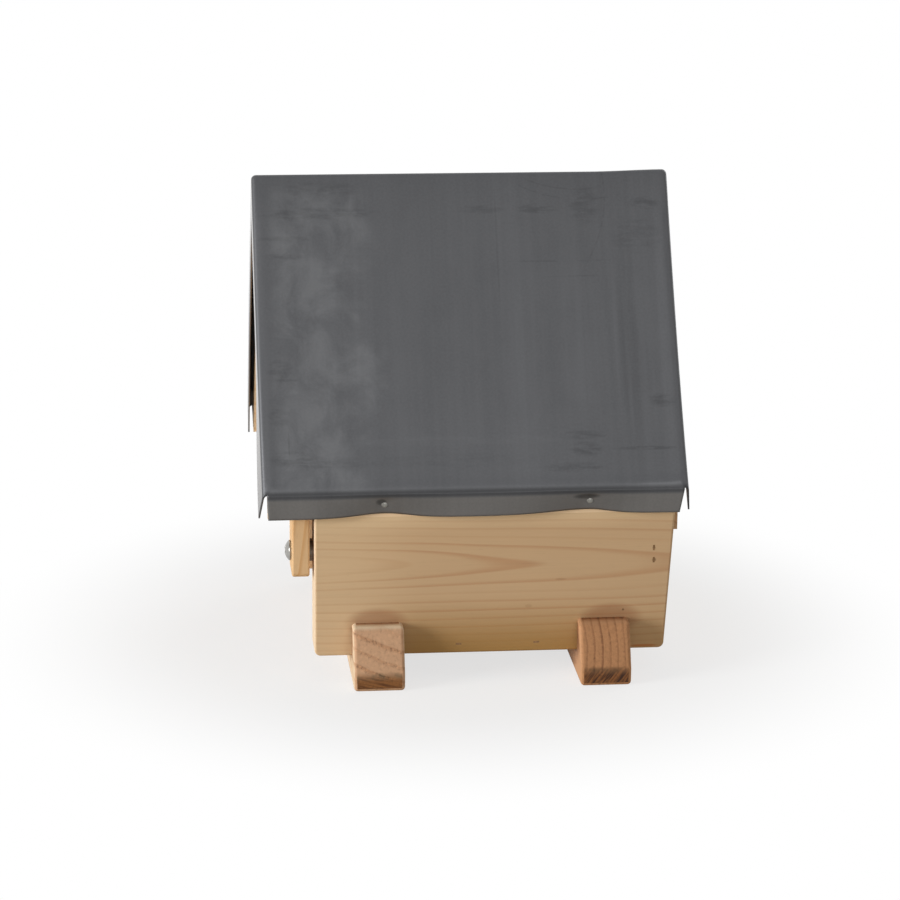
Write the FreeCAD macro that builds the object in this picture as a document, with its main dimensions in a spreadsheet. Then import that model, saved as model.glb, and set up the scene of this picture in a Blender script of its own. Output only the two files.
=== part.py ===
import FreeCAD, Part
import Sketcher
import math
import os

# Wooden house that holds a jar of peanut butter on its side for birds, under a folded zinc roof.
# Millimetres. The ridge runs along X with the open front end at -X, the near side wall is at -Y,
# and Z is up from the ground that the two feet stand on, midway under the roof.

doc = FreeCAD.newDocument("jar_feeder")
sheet = doc.addObject("Spreadsheet::Sheet", "sizes")

SIZES = (
    ("roof_length", 205, "roof sheet along the ridge"),
    ("roof_half_depth", 84.5, "ridge line to the outside of an eave flange"),
    ("roof_rise", 143.2, "eave fold to the sharp ridge"),
    ("sheet_gauge", 0.8, "thickness of the zinc"),
    ("ridge_radius", 3, "outside radius of the bend at the ridge"),
    ("fold_radius", 1.8, "outside radius of the folds at the eaves"),
    ("eave_flange", 12, "height of an eave flange"),
    ("eave_notch", 1.4, "eave flange clear of the verge, at the fold"),
    ("eave_rake", 1.2, "further set back of the eave flange at its free edge"),
    ("verge_flange", 12.5, "width of a verge flange, square to the slope"),
    ("verge_tip", 8, "verge flange past the eave fold, along the slope"),
    ("roof_board", 11, "thickness of a roof board"),
    ("roof_board_inset", 1.5, "end of a roof board clear of the verge flange"),
    ("eave_overhang", 6, "eave flange in front of the side wall"),
    ("front_overhang", 24.9, "roof past the front ends of the walls"),
    ("rear_overhang", 3.2, "roof past the rear ends of the walls, at the eaves"),
    ("rear_rake", 4.2, "rear ends of the walls cut back at the bottom"),
    ("wall_thickness", 18, "side wall"),
    ("wall_to_eave", 83.9, "bottom of the walls to the eave fold"),
    ("wall_corner", 3, "radius of a wall's lower corners"),
    ("wall_arris", 1.2, "radius of a wall's outer arris"),
    ("floor_thickness", 9.5, "floor board"),
    ("floor_setback", 10, "floor behind the front ends of the walls"),
    ("rear_thickness", 12, "rear board"),
    ("gable_thickness", 12, "front gable board"),
    ("gable_inset", 2, "lower corners of the front gable clear of the walls"),
    ("foot_width", 25, "foot batten along the ridge"),
    ("foot_inset", 18.2, "foot in from the lower ends of the walls"),
    ("foot_drop", 13, "batten under the house"),
    ("foot_ear", 16.7, "ear of the batten up the wall"),
    ("foot_ledge", 7.5, "flat top of the ear"),
    ("foot_bevel", 9.5, "bevel of the ear past its flat top"),
    ("foot_toe", 8.5, "upright end of the batten"),
    ("foot_arris", 0.8, "chamfer of the arrises at a batten's ends"),
    ("button_width", 22, "turn-button across"),
    ("button_thickness", 8.6, "turn-button"),
    ("button_arm", 29.5, "pivot to the rounded end of the turn-button"),
    ("button_heel", 11, "pivot to the square end of the turn-button"),
    ("button_round", 10, "corner radius at the rounded end"),
    ("button_corner", 3, "corner radius at the square end"),
    ("button_inset", 2, "turn-button inside the face of the wall"),
    ("button_headroom", 0.6, "rounded end of a parked turn-button clear of the roof board"),
    ("button_play", 0.15, "turn-button clear of the washer and of the screw head"),
    ("pivot_diameter", 4, "shank of a pivot screw"),
    ("pivot_clearance", 0.08, "radial running clearance of a turn-button"),
    ("pivot_bite", 22, "pivot screw in the wall"),
    ("dome_diameter", 10, "head of a pivot screw"),
    ("dome_height", 3, "head of a pivot screw"),
    ("dome_rim", 0.8, "upright rim of a pivot screw's head"),
    ("washer_diameter", 11, "spacer washer behind a turn-button"),
    ("washer_thickness", 2, "spacer washer behind a turn-button"),
    ("nail_diameter", 1.8, "roof nail"),
    ("nail_head", 3.6, "diameter of a roof nail's head"),
    ("nail_head_height", 0.8, "roof nail's head"),
    ("nail_length", 18, "roof nail under its head"),
    ("nail_drop", 6.5, "roof nail under the eave fold"),
    ("nail_from_front", 58.7, "front roof nail from the front verge"),
    ("nail_from_rear", 46, "rear roof nail from the rear verge"),
    ("brad_width", 1.2, "shank of a brad in the walls and roof boards"),
    ("brad_thickness", 1, "brad, shank and head alike"),
    ("brad_head", 2.8, "width of a brad's head"),
    ("brad_head_height", 0.8, "brad's head"),
    ("brad_length", 28, "brad"),
    ("rear_brad_height", 49, "pair of rear brads above the bottom of the walls"),
    ("rear_brad_pitch", 6.2, "rear brads apart"),
    ("floor_brad_first", 70.8, "first floor brad from the front ends of the walls"),
    ("floor_brad_pitch", 38.5, "floor brads apart"),
    ("roof_brad_high", 32, "upper roof board brads from the ridge, level"),
    ("roof_brad_low", 50, "lower roof board brads from the ridge, level"),
    ("foot_brad_length", 20, "brad through a foot into the floor"),
    ("foot_brad_spread", 64, "brads of one foot apart"),
    ("lath_thickness", 2.1, "lath across the rear ends of the walls"),
    ("lath_height", 20, "lath across the rear ends of the walls"),
    ("lath_inset", 6, "ends of the lath inside the faces of the walls"),
    ("lath_gap", 1.5, "ends of the lath under the roof boards"),
)
for row, (alias, value, meaning) in enumerate(SIZES, 1):
    sheet.set(f"A{row}", meaning)
    sheet.set(f"B{row}", str(value))
    sheet.setAlias(f"B{row}", alias)
doc.recompute()

# Levels and places that several pieces share, as expressions on the sheet
SLOPE = "(sizes.roof_rise / sizes.roof_half_depth)"
STRETCH = "(sqrt(sizes.roof_rise ^ 2 + sizes.roof_half_depth ^ 2) / sizes.roof_half_depth)"
PITCH = f"atan({SLOPE})"
EAVE = "(sizes.foot_drop + sizes.wall_to_eave)"
RIDGE = f"({EAVE} + sizes.roof_rise)"
VERGE = "(sizes.roof_length / 2)"
FRONT = f"(sizes.front_overhang - {VERGE})"
REAR = f"({VERGE} - sizes.rear_overhang)"
FACE = "(sizes.roof_half_depth - sizes.eave_overhang)"
INNER = f"({FACE} - sizes.wall_thickness)"
BOARD_UNDERSIDE = "(sizes.sheet_gauge + sizes.roof_board)"
HEEL = f"({REAR} - sizes.rear_rake)"
REAR_BOARD_FRONT = f"({HEEL} - sizes.rear_thickness)"
REAR_BOARD_MIDDLE = f"({HEEL} - sizes.rear_thickness / 2)"
PIVOT_Y = f"({FACE} - sizes.button_inset - sizes.button_width / 2)"
SIDES = (("near", -1), ("far", 1))


def number(expression):
    return float(sheet.evalExpression(expression))


def roof_level(depth, below):
    """Height of a plane that lies this far below the roof's outside, at a depth from the ridge."""
    return f"({EAVE} + (sizes.roof_half_depth - {depth}) * {SLOPE} - {below} * {STRETCH})"


# Pivot of a turn-button, as high as lets its rounded end pass under the roof board
BUTTON_ROUND = "min(sizes.button_round; 0.48 * sizes.button_width)"
ROUND_Y = f"({PIVOT_Y} + sizes.button_width / 2 - {BUTTON_ROUND})"
ROUND_Z = (f"({roof_level(ROUND_Y, BOARD_UNDERSIDE)}"
           f" - ({BUTTON_ROUND} + sizes.button_headroom) * {STRETCH})")
PIVOT_Z = f"({ROUND_Z} - sizes.button_arm + {BUTTON_ROUND})"


def outline(body, name, role, points, offset="0", hole=None, domed_side=None):
    """Closed outline on an origin plane, each point a pair of expressions.

    A hole is round and lies about the origin. A domed side is an arc centred on the upright axis.
    """
    sketch = body.newObject("Sketcher::SketchObject", name)
    plane = next(feature for feature in body.Origin.OriginFeatures if feature.Role == role)
    sketch.AttachmentSupport = [(plane, "")]
    sketch.MapMode = "FlatFace"
    sketch.setExpression("AttachmentOffset.Base.z", offset)
    corners = [FreeCAD.Vector(number(x), number(y), 0) for x, y in points]
    count = len(corners)
    for index, corner in enumerate(corners):
        following = corners[(index + 1) % count]
        side = Part.LineSegment(corner, following)
        if index == domed_side:
            side = dome(corner, following)
        sketch.addGeometry(side, False)
    for index in range(count):
        sketch.addConstraint(Sketcher.Constraint("Coincident", index, 2, (index + 1) % count, 1))
    for index, (x, y) in enumerate(points):
        hold(sketch, Sketcher.Constraint("DistanceX", -1, 1, index, 1, corners[index].x), x)
        hold(sketch, Sketcher.Constraint("DistanceY", -1, 1, index, 1, corners[index].y), y)
    if domed_side is not None:
        sketch.addConstraint(Sketcher.Constraint("PointOnObject", domed_side, 3, -2))
    if hole:
        round_hole(sketch, hole)
    return sketch


def hold(sketch, constraint, expression):
    index = sketch.addConstraint(constraint)
    sketch.setExpression(f"Constraints[{index}]", expression)


def dome(rim, crown):
    """Arc from a point on the rim up to the crown, centred on the upright axis."""
    height = crown.y - rim.y
    radius = (rim.x ** 2 + height ** 2) / (2 * height)
    centre = FreeCAD.Vector(0, crown.y - radius, 0)
    start = math.atan2(rim.y - centre.y, rim.x)
    return Part.ArcOfCircle(Part.Circle(centre, FreeCAD.Vector(0, 0, 1), radius), start, math.pi / 2)


def round_hole(sketch, radius):
    """Circle about the sketch's origin, its radius an expression."""
    circle = Part.Circle(FreeCAD.Vector(0, 0, 0), FreeCAD.Vector(0, 0, 1), number(radius))
    index = sketch.addGeometry(circle, False)
    sketch.addConstraint(Sketcher.Constraint("Coincident", index, 3, -1, 1))
    hold(sketch, Sketcher.Constraint("Radius", index, number(radius)), radius)


def pad(body, name, sketch, length, reversed_side=False):
    feature = body.newObject("PartDesign::Pad", name)
    feature.Profile = sketch
    feature.setExpression("Length", length)
    feature.Reversed = reversed_side
    doc.recompute()
    return feature


def cut_through(body, name, sketch):
    """Cut across the whole house, both ways from the ridge."""
    pocket = body.newObject("PartDesign::Pocket", name)
    pocket.Profile = sketch
    pocket.SideType = "Symmetric"
    pocket.setExpression("Length", "4 * sizes.roof_half_depth")
    doc.recompute()


def board(name, points, start, length):
    """Piece with one section across the ridge, cut to a length along it."""
    body = doc.addObject("PartDesign::Body", name)
    pad(body, name + "_pad", outline(body, name + "_section", "YZ_Plane", points, start), length)
    return body


def runs(edge):
    """Direction of an edge at its start, as 0 or 1 along each axis."""
    tangent = edge.tangentAt(edge.FirstParameter)
    return FreeCAD.Vector(round(abs(tangent.x)), round(abs(tangent.y)), round(abs(tangent.z)))


def ease(body, name, kind, measure, size, chosen):
    """Fillet or chamfer on those edges of the body whose middle and direction the test accepts."""
    base = body.Tip
    names = []
    for index, edge in enumerate(base.Shape.Edges, 1):
        middle = edge.valueAt((edge.FirstParameter + edge.LastParameter) / 2)
        if chosen(middle, edge):
            names.append(f"Edge{index}")
    feature = body.newObject(kind, name)
    feature.Base = (base, names)
    feature.setExpression(measure, size)
    doc.recompute()
    return feature


def soften(body, name, radius, chosen):
    return ease(body, name, "PartDesign::Fillet", "Radius", radius, chosen)


def place_at(body, place, axis=None, turn=None):
    """Set a body in its place by expressions, turned about one axis."""
    if axis:
        body.Placement = FreeCAD.Placement(FreeCAD.Vector(0, 0, 0), FreeCAD.Rotation(axis, 0))
        body.setExpression("Placement.Rotation.Angle", turn)
    for letter, expression in zip("xyz", place):
        body.setExpression(f"Placement.Base.{letter}", expression)
    doc.recompute()
    return body


def turned(name, profile, place, axis, turn, domed_side=None):
    """Nail or screw turned about its own Z axis from (radius, height) points, then set in its place."""
    body = doc.addObject("PartDesign::Body", name)
    sketch = outline(body, name + "_profile", "XZ_Plane", profile, domed_side=domed_side)
    revolution = body.newObject("PartDesign::Revolution", name + "_turned")
    revolution.Profile = sketch
    revolution.ReferenceAxis = (sketch, ["V_Axis"])
    revolution.Angle = 360
    return place_at(body, place, axis, turn)


def brad(name, place, turn, length="sizes.brad_length", axis=FreeCAD.Vector(1, 0, 0), plane="XZ_Plane"):
    """Flat T-headed brad in a plane, pointing down until it is turned, its head level with its place."""
    body = doc.addObject("PartDesign::Body", name)
    half = [("sizes.brad_width / 2", f"-{length}"), ("sizes.brad_width / 2", "-sizes.brad_head_height"),
            ("sizes.brad_head / 2", "-sizes.brad_head_height"), ("sizes.brad_head / 2", "0")]
    whole = half + [(f"-{x}", z) for x, z in reversed(half)]
    sketch = outline(body, name + "_outline", plane, whole)
    flat = pad(body, name + "_flat", sketch, "sizes.brad_thickness")
    flat.SideType = "Symmetric"
    return place_at(body, place, axis, turn)


def group(label, pieces):
    """Identical fasteners that share one node."""
    compound = doc.addObject("Part::Compound", label + "_group")
    compound.Links = pieces
    doc.recompute()
    return node(compound, label)


def drilled(blank, label, fasteners):
    """Board with the holes that its fasteners fill."""
    tool = doc.addObject("Part::Compound", label + "_holes")
    tool.Links = fasteners
    cut = doc.addObject("Part::Cut", label + "_drilled")
    cut.Base = blank
    cut.Tool = tool
    doc.recompute()
    return node(cut, label)


nodes = []


def node(piece, label):
    piece.Label = label
    nodes.append(piece)
    return piece


ALONG_X = FreeCAD.Vector(1, 0, 0)
ALONG_Y = FreeCAD.Vector(0, 1, 0)


# Roof nails: through each eave flange into the edge of the roof board
NAIL = [("0", "-sizes.nail_length"), ("sizes.nail_diameter / 2", "-sizes.nail_length"),
        ("sizes.nail_diameter / 2", "0"), ("sizes.nail_head / 2", "0"),
        ("sizes.nail_head / 2", "sizes.nail_head_height"), ("0", "sizes.nail_head_height")]
NAIL_X = (("front", f"(sizes.nail_from_front - {VERGE})"), ("rear", f"({VERGE} - sizes.nail_from_rear)"))
roof_nails = {}
for side, sign in SIDES:
    roof_nails[side] = [
        turned(f"roof_nail_{side}_{end}", NAIL,
               (x, f"{sign} * sizes.roof_half_depth", f"{EAVE} - sizes.nail_drop"),
               ALONG_X, f"{-sign} * 90 deg")
        for end, x in NAIL_X]
group("roof_nails", roof_nails["near"] + roof_nails["far"])

# Roof board brads: square to each slope into the front gable and the rear board
ROOF_BRAD_X = (("front", f"({FRONT} + sizes.gable_thickness / 2)"), ("rear", REAR_BOARD_MIDDLE))
roof_brads = {}
for side, sign in SIDES:
    for end, x in ROOF_BRAD_X:
        roof_brads[side, end] = [
            brad(f"roof_brad_{side}_{end}_{level}",
                 (x, f"{sign} * sizes.roof_brad_{level}",
                  roof_level(f"sizes.roof_brad_{level}", "sizes.sheet_gauge")),
                 f"{-sign} * {PITCH}")
            for level in ("high", "low")]
group("roof_board_brads", [piece for pair in roof_brads.values() for piece in pair])

# Wall brads: from the faces of the walls into the rear board and the floor
rear_brads = {}
floor_brads = {}
for side, sign in SIDES:
    rear_brads[side] = [
        brad(f"rear_brad_{side}_{place}",
             (REAR_BOARD_MIDDLE, f"{sign} * {FACE}",
              f"sizes.foot_drop + sizes.rear_brad_height + {step} * sizes.rear_brad_pitch / 2"),
             f"{-sign} * 90 deg", plane="YZ_Plane")
        for place, step in (("low", -1), ("high", 1))]
    floor_brads[side] = [
        brad(f"floor_brad_{side}_{place}",
             (f"{FRONT} + sizes.floor_brad_first + {step} * sizes.floor_brad_pitch", f"{sign} * {FACE}",
              "sizes.foot_drop + sizes.floor_thickness / 2"),
             f"{-sign} * 90 deg")
        for place, step in (("front", 0), ("rear", 1))]
group("rear_brads", rear_brads["near"] + rear_brads["far"])
group("floor_brads", floor_brads["near"] + floor_brads["far"])

# Foot brads: from below through each batten into the floor
FEET = (("front", f"({FRONT} + sizes.foot_inset)"),
        ("rear", f"({HEEL} - sizes.foot_inset - sizes.foot_width)"))
foot_brads = {}
for end, start in FEET:
    foot_brads[end] = [
        brad(f"foot_brad_{end}_{side}",
             (f"{start} + sizes.foot_width / 2", f"{sign} * sizes.foot_brad_spread / 2", "0"),
             "180 deg", "sizes.foot_brad_length")
        for side, sign in SIDES]
group("foot_brads", foot_brads["front"] + foot_brads["rear"])

# Lath brads: through the rear lath into the ends of the walls
LATH_END = f"({FACE} - sizes.lath_inset)"
LATH_TOP = f"({roof_level(LATH_END, BOARD_UNDERSIDE)} - sizes.lath_gap)"
lath_brads = {
    side: brad(f"lath_brad_{side}",
               (f"{REAR} + sizes.lath_thickness", f"{sign} * ({LATH_END} + {INNER}) / 2",
                f"{LATH_TOP} - sizes.lath_height / 2"),
               "90 deg", axis=ALONG_Y)
    for side, sign in SIDES}
group("lath_brads", list(lath_brads.values()))

# Pivot screws: dome heads on the front of the turn-buttons, shanks in the ends of the walls
BUTTON_BACK = f"({FRONT} - sizes.washer_thickness - sizes.button_play)"
DOME_SEAT = f"({BUTTON_BACK} - sizes.button_thickness - sizes.button_play)"
PIVOT_LENGTH = f"({FRONT} + sizes.pivot_bite - {DOME_SEAT})"
PIVOT_SHANK = "(sizes.pivot_diameter / 2)"
PIVOT_SCREW = [("0", f"-{PIVOT_LENGTH}"), (PIVOT_SHANK, f"-{PIVOT_LENGTH}"), (PIVOT_SHANK, "0"),
               ("sizes.dome_diameter / 2", "0"), ("sizes.dome_diameter / 2", "sizes.dome_rim"),
               ("0", "sizes.dome_height")]
DOME = 4
pivot_screws = {}
for side, sign in SIDES:
    screw = turned(f"pivot_screw_{side}", PIVOT_SCREW, (DOME_SEAT, f"{sign} * {PIVOT_Y}", PIVOT_Z),
                   ALONG_Y, "-90 deg", domed_side=DOME)
    pivot_screws[side] = node(screw, f"{side}_pivot_screw")

# Spacer washers between the turn-buttons and the walls
for side, sign in SIDES:
    body = doc.addObject("PartDesign::Body", f"washer_{side}")
    ring = outline(body, f"washer_{side}_ring", "YZ_Plane", [], hole="sizes.washer_diameter / 2")
    round_hole(ring, PIVOT_SHANK)
    pad(body, f"washer_{side}_pad", ring, "sizes.washer_thickness", True)
    place_at(body, (FRONT, f"{sign} * {PIVOT_Y}", PIVOT_Z))
    node(body, f"{side}_pivot_washer")

# Turn-buttons: pine strips that stand parked upright, and turn in to hold the jar
HALF_BUTTON = "(sizes.button_width / 2)"
for side, sign in SIDES:
    body = doc.addObject("PartDesign::Body", f"button_{side}")
    strip = outline(body, f"button_{side}_outline", "YZ_Plane",
                    [(f"-{HALF_BUTTON}", "-sizes.button_heel"), (HALF_BUTTON, "-sizes.button_heel"),
                     (HALF_BUTTON, "sizes.button_arm"), (f"-{HALF_BUTTON}", "sizes.button_arm")],
                    hole=f"{PIVOT_SHANK} + sizes.pivot_clearance")
    pad(body, f"button_{side}_pad", strip, "sizes.button_thickness", True)
    corner_reach = number(HALF_BUTTON) - 1e-6
    soften(body, f"button_{side}_round", BUTTON_ROUND,
           lambda middle, edge: abs(middle.y) > corner_reach and middle.z > 0 and runs(edge).x)
    soften(body, f"button_{side}_corner", "sizes.button_corner",
           lambda middle, edge: abs(middle.y) > corner_reach and middle.z < 0 and runs(edge).x)
    place_at(body, (BUTTON_BACK, f"{sign} * {PIVOT_Y}", PIVOT_Z))
    node(body, f"{side}_turn_button")

# Side walls: tops bevelled to the roof, rear ends cut on a slant, rounded lower corners, eased arrises
WALL_LENGTH = f"({REAR} - {FRONT})"
for side, sign in SIDES:
    wall = board(f"wall_{side}",
                 [(f"{sign} * {FACE}", "sizes.foot_drop"), (f"{sign} * {INNER}", "sizes.foot_drop"),
                  (f"{sign} * {INNER}", roof_level(INNER, BOARD_UNDERSIDE)),
                  (f"{sign} * {FACE}", roof_level(FACE, BOARD_UNDERSIDE))],
                 FRONT, WALL_LENGTH)
    slant = outline(wall, f"wall_{side}_slant", "XZ_Plane",
                    [(REAR, "sizes.foot_drop"), (HEEL, "sizes.foot_drop"),
                     (REAR, roof_level(FACE, BOARD_UNDERSIDE))])
    cut_through(wall, f"wall_{side}_rake", slant)
    bottom = number("sizes.foot_drop")
    face = number(FACE)
    eave_line = number(roof_level(FACE, BOARD_UNDERSIDE))
    soften(wall, f"wall_{side}_corners", "sizes.wall_corner",
           lambda middle, edge: abs(middle.z - bottom) < 1e-6 and runs(edge).y)
    soften(wall, f"wall_{side}_arris", "sizes.wall_arris",
           lambda middle, edge: abs(abs(middle.y) - face) < 1e-6 and middle.z < eave_line - 1e-6)
    drilled(wall, f"{side}_side_wall",
            rear_brads[side] + floor_brads[side] + roof_nails[side]
            + [pivot_screws[side], lath_brads[side]])

# Floor board between the walls, level with their bottoms
FLOOR_START = f"({FRONT} + sizes.floor_setback)"
FLOOR_TOP = "(sizes.foot_drop + sizes.floor_thickness)"
floor = board("floor",
              [(f"-{INNER}", "sizes.foot_drop"), (INNER, "sizes.foot_drop"),
               (INNER, FLOOR_TOP), (f"-{INNER}", FLOOR_TOP)],
              FLOOR_START, f"{REAR_BOARD_FRONT} - {FLOOR_START}")
drilled(floor, "floor_board",
        floor_brads["near"] + floor_brads["far"] + foot_brads["front"] + foot_brads["rear"])

# Rear board between the walls, cut to the roof, its back at the walls' lower rear corners
rear_board = board("rear",
                   [(f"-{INNER}", "sizes.foot_drop"), (INNER, "sizes.foot_drop"),
                    (INNER, roof_level(INNER, BOARD_UNDERSIDE)), ("0", roof_level("0", BOARD_UNDERSIDE)),
                    (f"-{INNER}", roof_level(INNER, BOARD_UNDERSIDE))],
                   REAR_BOARD_FRONT, "sizes.rear_thickness")
drilled(rear_board, "rear_board",
        rear_brads["near"] + rear_brads["far"] + roof_brads["near", "rear"] + roof_brads["far", "rear"])

# Front gable board above the jar
GABLE_CORNER = f"({INNER} - sizes.gable_inset)"
front_gable = board("gable",
                    [(f"-{GABLE_CORNER}", roof_level(GABLE_CORNER, BOARD_UNDERSIDE)),
                     (GABLE_CORNER, roof_level(GABLE_CORNER, BOARD_UNDERSIDE)),
                     ("0", roof_level("0", BOARD_UNDERSIDE))],
                    FRONT, "sizes.gable_thickness")
drilled(front_gable, "front_gable", roof_brads["near", "front"] + roof_brads["far", "front"])

# Roof boards: plumb cut at the ridge and level with the walls' faces, planed flat under the ridge bend
BOARD_START = f"(sizes.sheet_gauge + sizes.roof_board_inset - {VERGE})"
for side, sign in SIDES:
    slope = board(f"slope_{side}",
                  [(f"{sign} * {FACE}", roof_level(FACE, BOARD_UNDERSIDE)),
                   (f"{sign} * {FACE}", roof_level(FACE, "sizes.sheet_gauge")),
                   (f"{sign} * sizes.ridge_radius", roof_level("sizes.ridge_radius", "sizes.sheet_gauge")),
                   ("0", roof_level("sizes.ridge_radius", "sizes.sheet_gauge")),
                   ("0", roof_level("0", BOARD_UNDERSIDE))],
                  BOARD_START, f"-2 * {BOARD_START}")
    drilled(slope, f"{side}_roof_board",
            roof_nails[side] + roof_brads[side, "front"] + roof_brads[side, "rear"])

# Feet: battens notched for the house, with bevelled ears in front of the walls
EAR_TOP = "(sizes.foot_drop + sizes.foot_ear)"
LEDGE = f"({FACE} + sizes.foot_ledge)"
TOE = f"({LEDGE} + sizes.foot_bevel)"
HALF_FOOT = [(TOE, "0"), (TOE, "sizes.foot_toe"), (LEDGE, EAR_TOP),
             (FACE, EAR_TOP), (FACE, "sizes.foot_drop")]
FOOT = HALF_FOOT + [(f"-{y}", z) for y, z in reversed(HALF_FOOT)]
for end, start in FEET:
    foot = board(f"foot_{end}", FOOT, start, "sizes.foot_width")
    ledge = number(LEDGE)
    ease(foot, f"foot_{end}_arris", "PartDesign::Chamfer", "Size", "sizes.foot_arris",
         lambda middle, edge: abs(middle.y) > ledge + 1e-6 and not runs(edge).x)
    drilled(foot, f"{end}_foot", foot_brads[end])

# Thin lath that ties the rear ends of the walls, under the roof's overhang
LATH_FOOT = f"({LATH_TOP} - sizes.lath_height)"
lath = board("lath",
             [(f"-{LATH_END}", LATH_FOOT), (LATH_END, LATH_FOOT),
              (LATH_END, LATH_TOP), (f"-{LATH_END}", LATH_TOP)],
             REAR, "sizes.lath_thickness")
drilled(lath, "rear_lath", list(lath_brads.values()))


def along_ridge(depth, height):
    """Test for the one long edge at this depth and height."""
    depth, height = number(depth), number(height)
    return lambda middle, edge: (abs(abs(middle.y) - depth) < 1e-4 and abs(middle.z - height) < 1e-4
                                 and abs(middle.x) < 1e-4)


def on_verge(middle, edge):
    """Test for the sharp folds at the two ends of the roof, ridge bend included."""
    at_end = abs(abs(middle.x) - number(VERGE)) < 1e-4
    on_slope = abs(middle.z - number(RIDGE) + abs(middle.y) * number(SLOPE)) < 1e-3
    on_bend = abs(middle.y) < 1e-4 and middle.z > number(f"{RIDGE} - 2 * sizes.ridge_radius")
    return at_end and (on_slope or on_bend)


# Roof sheet: bent at the ridge, with eave flanges nailed to the boards and verge flanges turned down
INSIDE = "(sizes.roof_half_depth - sizes.sheet_gauge)"
INSIDE_EAVE = roof_level(INSIDE, "sizes.sheet_gauge")
INSIDE_RIDGE = roof_level("0", "sizes.sheet_gauge")
EAVE_EDGE = f"({EAVE} - sizes.eave_flange)"
zinc = board("zinc",
             [("-sizes.roof_half_depth", EAVE_EDGE), ("-sizes.roof_half_depth", EAVE), ("0", RIDGE),
              ("sizes.roof_half_depth", EAVE), ("sizes.roof_half_depth", EAVE_EDGE), (INSIDE, EAVE_EDGE),
              (INSIDE, INSIDE_EAVE), ("0", INSIDE_RIDGE), (f"-{INSIDE}", INSIDE_EAVE),
              (f"-{INSIDE}", EAVE_EDGE)],
             f"-{VERGE}", "sizes.roof_length")
soften(zinc, "zinc_eave_outside", "sizes.fold_radius", along_ridge("sizes.roof_half_depth", EAVE))
soften(zinc, "zinc_eave_inside", "sizes.fold_radius - sizes.sheet_gauge",
       along_ridge(INSIDE, INSIDE_EAVE))
for end, sign in (("front", -1), ("rear", 1)):
    corner = outline(zinc, f"zinc_{end}_corner", "XZ_Plane",
                     [(f"{sign} * {VERGE}", EAVE), (f"{sign} * ({VERGE} - sizes.eave_notch)", EAVE),
                      (f"{sign} * ({VERGE} - sizes.eave_notch - sizes.eave_rake)", EAVE_EDGE),
                      (f"{sign} * {VERGE}", EAVE_EDGE)])
    cut_through(zinc, f"zinc_{end}_notch", corner)
TIP_Y = (f"(sizes.roof_half_depth + sizes.verge_tip / {STRETCH}"
         f" - sizes.verge_flange * {SLOPE} / {STRETCH})")
TIP_Z = f"({EAVE} - (sizes.verge_tip * {SLOPE} + sizes.verge_flange) / {STRETCH})"
CHEVRON = [("-sizes.roof_half_depth", EAVE), ("0", RIDGE), ("sizes.roof_half_depth", EAVE),
           (TIP_Y, TIP_Z), ("0", f"{RIDGE} - sizes.verge_flange * {STRETCH}"), (f"-{TIP_Y}", TIP_Z)]
for end, start in (("front", f"-{VERGE}"), ("rear", f"{VERGE} - sizes.sheet_gauge")):
    chevron = outline(zinc, f"zinc_{end}_chevron", "YZ_Plane", CHEVRON, start)
    pad(zinc, f"zinc_{end}_verge", chevron, "sizes.sheet_gauge")
soften(zinc, "zinc_ridge_outside", "sizes.ridge_radius", along_ridge("0", RIDGE))
soften(zinc, "zinc_ridge_inside", "sizes.ridge_radius - sizes.sheet_gauge",
       along_ridge("0", INSIDE_RIDGE))
soften(zinc, "zinc_verge_outside", "0.85 * sizes.sheet_gauge", on_verge)
drilled(zinc, "roof_sheet", roof_nails["near"] + roof_nails["far"])

doc.recompute()
failed = [item.Name for item in doc.Objects if "Invalid" in item.State or "Error" in item.State]
broken = [piece.Label for piece in nodes
          if piece.Shape.isNull() or not piece.Shape.isValid() or not piece.Shape.Solids]
if failed or broken:
    raise RuntimeError(f"failed objects {failed}, broken pieces {broken}")
os.makedirs("parts", exist_ok=True)
for piece in nodes:
    piece.Shape.exportStep(f"parts/{piece.Label}.step")
    print(piece.Label, len(piece.Shape.Solids), round(piece.Shape.Volume, 1))
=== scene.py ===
import math

import bpy
import numpy as np
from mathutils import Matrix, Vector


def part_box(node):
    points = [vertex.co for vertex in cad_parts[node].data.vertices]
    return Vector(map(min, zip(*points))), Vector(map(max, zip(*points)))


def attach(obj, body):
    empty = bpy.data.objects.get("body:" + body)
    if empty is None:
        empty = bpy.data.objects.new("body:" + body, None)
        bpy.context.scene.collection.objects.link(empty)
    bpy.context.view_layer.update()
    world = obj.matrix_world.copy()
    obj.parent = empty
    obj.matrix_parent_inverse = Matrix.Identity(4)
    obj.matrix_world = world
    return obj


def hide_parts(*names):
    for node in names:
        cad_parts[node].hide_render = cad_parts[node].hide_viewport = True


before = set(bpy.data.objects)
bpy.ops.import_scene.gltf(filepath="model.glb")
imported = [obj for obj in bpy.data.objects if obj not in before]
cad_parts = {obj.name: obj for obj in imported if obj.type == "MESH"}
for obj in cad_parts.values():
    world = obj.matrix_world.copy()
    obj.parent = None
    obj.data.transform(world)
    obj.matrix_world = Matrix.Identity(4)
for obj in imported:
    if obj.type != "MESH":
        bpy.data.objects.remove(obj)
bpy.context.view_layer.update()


# Feet
# Two battens of pine lie across under the house, notched so that it sits down between their ears.
# The ears are bevelled and rubbed round by hand, and their cut ends have drunk in more of the finish.
# Half the outline of a foot: how far out and how high each corner is, and the radius that it is rubbed to
FOOT_REACH = np.array([0.0955, 0.0955, 0.0860, 0.0785, 0.0785])
FOOT_LEVEL = np.array([0.0, 0.0085, 0.0297, 0.0297, 0.013])
FOOT_CORNERS = np.array([0.0019, 0.0045, 0.0028, 0.0, 0.0])
FOOT_ROUNDING = 0.0019
ROUNDED_PAST = 0.0795
# Where the painted shade at the top of the rear foot begins and is full, and how strong it is
TOP_SHADE_LEVELS = (0.0262, 0.0292)
TOP_SHADE = 0.25


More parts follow.
